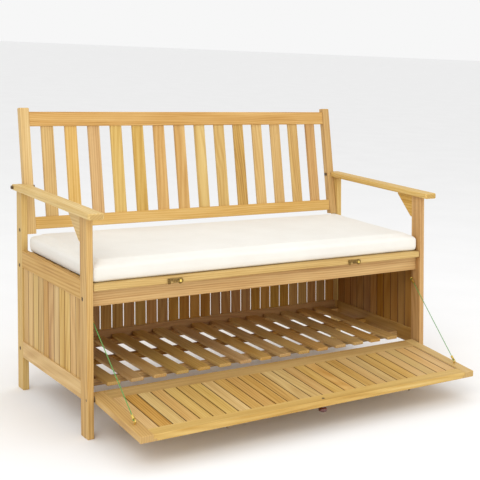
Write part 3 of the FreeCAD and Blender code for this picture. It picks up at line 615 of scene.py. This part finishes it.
BLANK_LOW_IN = Vector((0.003, 0.003, 0.001))
BLANK_HIGH_IN = Vector((0.003, 0.003, 0.007))
BLANK_ROUND = 0.007
BLANK_SEGMENTS = 3
BLANK_PROFILE = 0.6
VOXEL = 0.006
PRESSURE = 4
CLOTH_QUALITY = 5
CLOTH_FRAMES = 20
SWELL_CAP = 0.016
HOLD = 0.045
HELD_END_MOVES = 0.1
HELD_SIDE_MOVES = 0.35
CROWN = 0.006
UNEVEN = 0.0022
UNEVEN_SCALES = (5, 7)
UNEVEN_SLICE = 0.3
RIM = 0.97
SEAMS = (0.16, 0.84)
SEAM_HALF = 0.0045
SEAM_DEEP = 0.0018
UNDERSIDE_LIFT = 0.0004
CROWN_ABOVE_BOX = 0.004


def cushion_blank(low, high):
    """A box a little smaller than the cushion, with softly rounded edges, ready to be blown up."""
    low = low + BLANK_LOW_IN
    high = high - BLANK_HIGH_IN
    mesh = bpy.data.meshes.new("seat_cushion_pad")
    grid = bmesh.new()
    bmesh.ops.create_cube(grid, size=1.0)
    for vertex in grid.verts:
        vertex.co = Vector(low[i] + (vertex.co[i] + 0.5) * (high[i] - low[i]) for i in range(3))
    bmesh.ops.bevel(
        grid, geom=grid.edges[:], offset=BLANK_ROUND, segments=BLANK_SEGMENTS, profile=BLANK_PROFILE,
        affect="EDGES",
    )
    grid.to_mesh(mesh)
    grid.free()
    piece = bpy.data.objects.new("seat_cushion_pad", mesh)
    bpy.context.scene.collection.objects.link(piece)
    return piece


def blown_up(piece):
    """The places of the piece's vertices after a cloth simulation with pressure inside."""
    cloth = piece.modifiers.new("swell", "CLOTH")
    cloth.settings.use_pressure = True
    cloth.settings.uniform_pressure_force = PRESSURE
    cloth.settings.effector_weights.gravity = 0
    cloth.settings.quality = CLOTH_QUALITY
    for number in range(1, CLOTH_FRAMES + 1):
        bpy.context.scene.frame_set(number)
    swollen = piece.evaluated_get(bpy.context.evaluated_depsgraph_get()).to_mesh()
    places = [vertex.co.copy() for vertex in swollen.vertices]
    piece.modifiers.remove(cloth)
    bpy.context.scene.frame_set(1)
    return places


def sewn(start, end, low, high):
    """One swollen point with the cover's sewing in it: held edges, a crown, and two drawn-in seams."""
    middle = (low + high) / 2
    half = (high - low) / 2
    move = end - start
    if move.length > SWELL_CAP:
        move = move.normalized() * SWELL_CAP
    # The sewn edges and corners keep their shape; the swelling is free between them.
    from_end = (half.x - abs(start.x - middle.x)) / HOLD
    from_side = (half.y - abs(start.y - middle.y)) / HOLD
    place = start + move * min(1.0, max(HELD_END_MOVES, from_end), max(HELD_SIDE_MOVES, from_side))
    across = (start.x - middle.x) / half.x
    deep = (start.y - middle.y) / half.y
    crown = max(0.0, 1 - across ** 4) * max(0.0, 1 - deep ** 2)
    if place.z > middle.z:
        place.z += CROWN * crown
    if place.z > middle.z:
        spot = Vector((place.x * UNEVEN_SCALES[0], place.y * UNEVEN_SCALES[1], UNEVEN_SLICE))
        place.z += noise.noise(spot) * UNEVEN
    if max(abs(across), abs(deep)) > RIM:
        for seam in SEAMS:
            near = (start.z - (low.z + seam * (high.z - low.z))) / SEAM_HALF
            pull = SEAM_DEEP * math.exp(-near * near)
            place -= Vector((across, deep, 0)).normalized() * pull
    return place


def seat_cushion():
    """The cushion: swollen by a cloth simulation where it is free, and flat where it lies on the boards."""
    low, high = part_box("seat_cushion")
    piece = cushion_blank(low, high)
    bpy.context.view_layer.objects.active = piece
    piece.select_set(True)
    remesh = piece.modifiers.new("remesh", "REMESH")
    remesh.mode = "VOXEL"
    remesh.voxel_size = VOXEL
    bpy.ops.object.modifier_apply(modifier="remesh")
    before = [vertex.co.copy() for vertex in piece.data.vertices]
    after = blown_up(piece)
    places = [sewn(start, end, low, high) for start, end in zip(before, after)]

    # The swollen shape fills the length and depth of the cushion's own box and lies flat on the boards.
    least = [min(place[i] for place in places) for i in range(2)]
    most = [max(place[i] for place in places) for i in range(2)]
    for vertex, place in zip(piece.data.vertices, places):
        for i in range(2):
            share = (place[i] - least[i]) / (most[i] - least[i])
            place[i] = low[i] + share * (high[i] - low[i])
        place.z = min(max(place.z, low.z + UNDERSIDE_LIFT), high.z + CROWN_ABOVE_BOX)
        vertex.co = place
    for polygon in piece.data.polygons:
        polygon.use_smooth = True
    finer = piece.modifiers.new("finer", "SUBSURF")
    finer.levels = 1
    finer.render_levels = 1
    piece.data.materials.clear()
    piece.data.materials.append(cushion_cloth())
    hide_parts("seat_cushion")
    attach(piece, "root")


# ---------------------------------------------------------------- stay cords

CORD_DIAMETER = 0.0024
CORD_STEPS = 60
LOOP_DIAMETER = 0.0019
LOOP_STEPS = 4
EYE_TO_CORD = 0.0189
TUBE_SIDES = 10
TUBE_ASIDE = Vector((0.83, 0.21, -0.52))
CORD_TOP = Vector((0.559210, -0.126125, 0.319468))
CORD_FOOT = Vector((0.546790, -0.348095, 0.122534))
MM_IN_A_METRE = 1000

# Each loop's outline in mm from its eye: to the side, and along the cord towards its ferrule.
LEG_LOOP = (
    (-0.4, 9), (0.8, 5), (1.9, 1), (2.6, -1.8), (5.0, -3.0), (7.4, -1.8), (7.8, 1), (4.6, 5), (0.6, 9),
)
FLAP_LOOP = (
    (-0.5, 9), (-2.3, 7), (-2.9, 5), (-2.0, 3), (0, 2.1), (2.0, 3), (2.9, 5), (2.3, 7), (0.5, 9),
)


def tube(name, centres, radius, material):
    """A round tube along a line of points, closed at both ends."""
    shape = bmesh.new()
    loops = []
    for number, centre in enumerate(centres):
        before = centres[max(number - 1, 0)]
        after = centres[min(number + 1, len(centres) - 1)]
        way = (after - before).normalized()
        aside = way.cross(TUBE_ASIDE).normalized()
        other = way.cross(aside)
        loop = []
        for corner in range(TUBE_SIDES):
            angle = math.tau * corner / TUBE_SIDES
            reach = aside * math.cos(angle) + other * math.sin(angle)
            loop.append(shape.verts.new(centre + reach * radius))
        loops.append(loop)
    for first, second in zip(loops, loops[1:]):
        for corner in range(TUBE_SIDES):
            after = (corner + 1) % TUBE_SIDES
            shape.faces.new((first[corner], first[after], second[after], second[corner]))
    shape.faces.new(loops[0])
    shape.faces.new(reversed(loops[-1]))
    bmesh.ops.recalc_face_normals(shape, faces=shape.faces[:])
    mesh = bpy.data.meshes.new(name)
    shape.to_mesh(mesh)
    shape.free()
    for polygon in mesh.polygons:
        polygon.use_smooth = True
    mesh.materials.append(material)
    piece = bpy.data.objects.new(name, mesh)
    bpy.context.scene.collection.objects.link(piece)
    return piece


def smoothed(points):
    """Points along a smooth line through the given ones."""
    fine = []
    padded = [points[0], *points, points[-1]]
    for a, b, c, d in zip(padded, padded[1:], padded[2:], padded[3:]):
        for step in range(LOOP_STEPS):
            t = step / LOOP_STEPS
            square = (2 * a - 5 * b + 4 * c - d) * t ** 2
            cube = (3 * b - a - 3 * c + d) * t ** 3
            fine.append((2 * b + (c - a) * t + square + cube) / 2)
    return [*fine, points[-1]]


def stay_cord(side, braid):
    """One taut stay, from the leg's ferrule to the flap's."""
    sign = 1 if side == "right" else -1
    top = Vector((sign * CORD_TOP.x, CORD_TOP.y, CORD_TOP.z))
    foot = Vector((sign * CORD_FOOT.x, CORD_FOOT.y, CORD_FOOT.z))
    way = (foot - top).normalized()
    length = (foot - top).length
    centres = [top + way * (length * number / CORD_STEPS) for number in range(CORD_STEPS + 1)]
    piece = tube(f"{side}_stay_cord_braid", centres, CORD_DIAMETER / 2, braid)
    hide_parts(f"{side}_stay_cord")
    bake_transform(piece)

    # The cord's own loops, from each ferrule's mouth round the wire of its screw eye.
    across = Vector((1, 0, 0))
    under = way.cross(across).normalized() * -sign
    if under.z > 0:
        under = -under
    leg_eye = top - way * EYE_TO_CORD
    flap_eye = foot + way * EYE_TO_CORD
    for name, body, eye, out, along, outline in (
        (f"{side}_leg_cord_loop", "root", leg_eye, under, way, LEG_LOOP),
        (f"{side}_flap_cord_loop", "flap", flap_eye, across, -way, FLAP_LOOP),
    ):
        points = [eye + (out * reach + along * deep) / MM_IN_A_METRE for reach, deep in outline]
        loop = tube(name, smoothed(points), LOOP_DIAMETER / 2, braid)
        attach(loop, body)


# ---------------------------------------------------------------- camera, light and floor

CAMERA_PLACE = Vector((-1.78083, -3.15484, 1.17388))
CAMERA_TURN = Euler((math.radians(87.386), math.radians(-0.534), math.radians(-41.672)))
SENSOR_WIDTH = 36.0
FOCAL_LENGTH = 84.0
CLIP_NEAR = 0.05
CLIP_FAR = 60.0
# How far the picture's middle lies to the right of the lens's axis and below it, over the focal length.
MIDDLE_RIGHT = -0.22589286
MIDDLE_BELOW = 0.13392857
PICTURE_SKEW = 0.0507

FLOOR_REACH = 40.0
FLOOR_SHADES = ((0.3, (0.90, 0.90, 0.90)), (0.7, (0.92, 0.92, 0.92)))
FLOOR_SCALE = 3.0
FLOOR_ROUGHNESS = 0.9
FLOOR_SPECULAR = 0.1
WORLD_STRENGTH = 0.93
WHITE = (1.0, 1.0, 1.0)
# Each lamp: its place, the point it faces, its two sides, its power and its colour.
LAMPS = {
    "key": ((-2.6, -3.0, 3.4), (0, 0, 0.35), (2.2, 2.2), 62, (1.0, 0.985, 0.96)),
    "fill": ((0.6, -4.2, 1.3), (0, 0, 0.3), (2.6, 1.6), 34, WHITE),
    "top": ((0.4, 0.2, 3.8), (0, 0, 0.4), (2.5, 2.5), 14, WHITE),
}


def camera():
    """A view whose middle is off the lens's axis, as when a picture is cut from one side of a wider one.

    The camera's axes are turned to the picture's middle without squaring them, which gives that view with no
    lens shift.
    """
    right, up, back = (CAMERA_TURN.to_matrix().col[i].copy() for i in range(3))
    below = MIDDLE_BELOW - PICTURE_SKEW * MIDDLE_RIGHT
    middle = right * MIDDLE_RIGHT - up * below - back
    axes = Matrix((right + up * PICTURE_SKEW, up, -middle)).transposed()
    for i in range(3):
        axes.col[i] = axes.col[i].normalized()
    data = bpy.data.cameras.new("camera")
    data.sensor_width = SENSOR_WIDTH
    data.lens = FOCAL_LENGTH * middle.length
    data.clip_start = CLIP_NEAR
    data.clip_end = CLIP_FAR
    eye = bpy.data.objects.new("camera", data)
    stand = bpy.data.objects.new("camera_stand", None)
    for thing in (eye, stand):
        bpy.context.scene.collection.objects.link(thing)
    eye.parent = stand
    eye.matrix_parent_inverse = Matrix.Translation(CAMERA_PLACE) @ axes.to_4x4()
    bpy.context.scene.camera = eye


def area_light(name, place, target, size, power, colour):
    """A rectangular lamp at a place, facing a point."""
    data = bpy.data.lights.new(name, "AREA")
    data.shape = "RECTANGLE"
    data.size = size[0]
    data.size_y = size[1]
    data.energy = power
    data.color = colour
    lamp = bpy.data.objects.new(name, data)
    lamp.location = place
    lamp.rotation_euler = (Vector(target) - Vector(place)).to_track_quat("-Z", "Y").to_euler()
    bpy.context.scene.collection.objects.link(lamp)


def studio():
    """A plain pale floor under a white sky, lit from above and from the front."""
    reach = FLOOR_REACH
    corners = [(-reach, -reach, 0), (reach, -reach, 0), (reach, reach, 0), (-reach, reach, 0)]
    mesh = bpy.data.meshes.new("studio_floor")
    mesh.from_pydata(corners, [], [(0, 1, 2, 3)])
    ground = bpy.data.objects.new("studio_floor", mesh)
    bpy.context.scene.collection.objects.link(ground)
    material, tree, shader = new_material("studio_floor")
    grain = noise_node(tree, plain_vector(tree, position(tree)), FLOOR_SCALE)
    link(tree, ramp(tree, grain, FLOOR_SHADES), shader.inputs["Base Color"])
    shader.inputs["Roughness"].default_value = FLOOR_ROUGHNESS
    shader.inputs["Specular IOR Level"].default_value = FLOOR_SPECULAR
    mesh.materials.append(material)
    world = bpy.data.worlds.new("studio")
    world.use_nodes = True
    background = world.node_tree.nodes["Background"]
    background.inputs["Color"].default_value = (*WHITE, 1)
    background.inputs["Strength"].default_value = WORLD_STRENGTH
    bpy.context.scene.world = world
    for name, lamp in LAMPS.items():
        area_light(name, *lamp)
    bpy.context.scene.view_settings.view_transform = "Standard"


paint_wood()
paint_fittings()
seat_cushion()
green_braid = stay_cord_braid()
stay_cord("left", green_braid)
stay_cord("right", green_braid)
camera()
studio()
